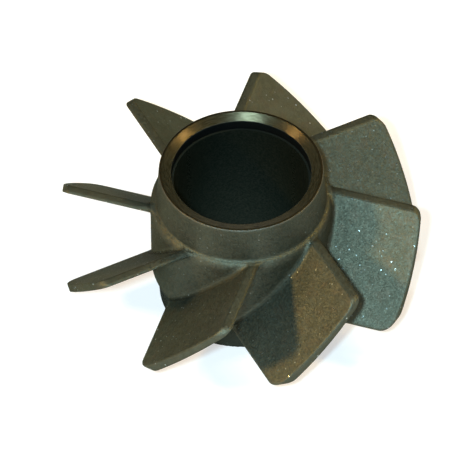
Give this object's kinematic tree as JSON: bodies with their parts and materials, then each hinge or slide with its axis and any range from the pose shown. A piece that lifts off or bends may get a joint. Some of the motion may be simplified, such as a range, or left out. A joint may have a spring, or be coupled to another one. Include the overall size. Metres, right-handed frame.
{
  "type": "pump impeller",
  "caption": "Axial-flow pump impeller cast in one piece: a bored hub with a conical collar and flat blades leaning round it.",
  "frame": {"origin": "centre of the hub's lower end face", "axes": "+Z along the bore axis towards the bevelled rim; +X along the line that one blade follows out from the axis"},
  "size_m": [0.13, 0.13, 0.062],
  "materials": {
    "cast_body": "dull dark olive-brown as-cast skin with a fine bright grain; turned bevel at the mouth of the bore"
  },
  "bodies": {
    "root": {"impeller": "cast_body"}
  },
  "joints": []
}
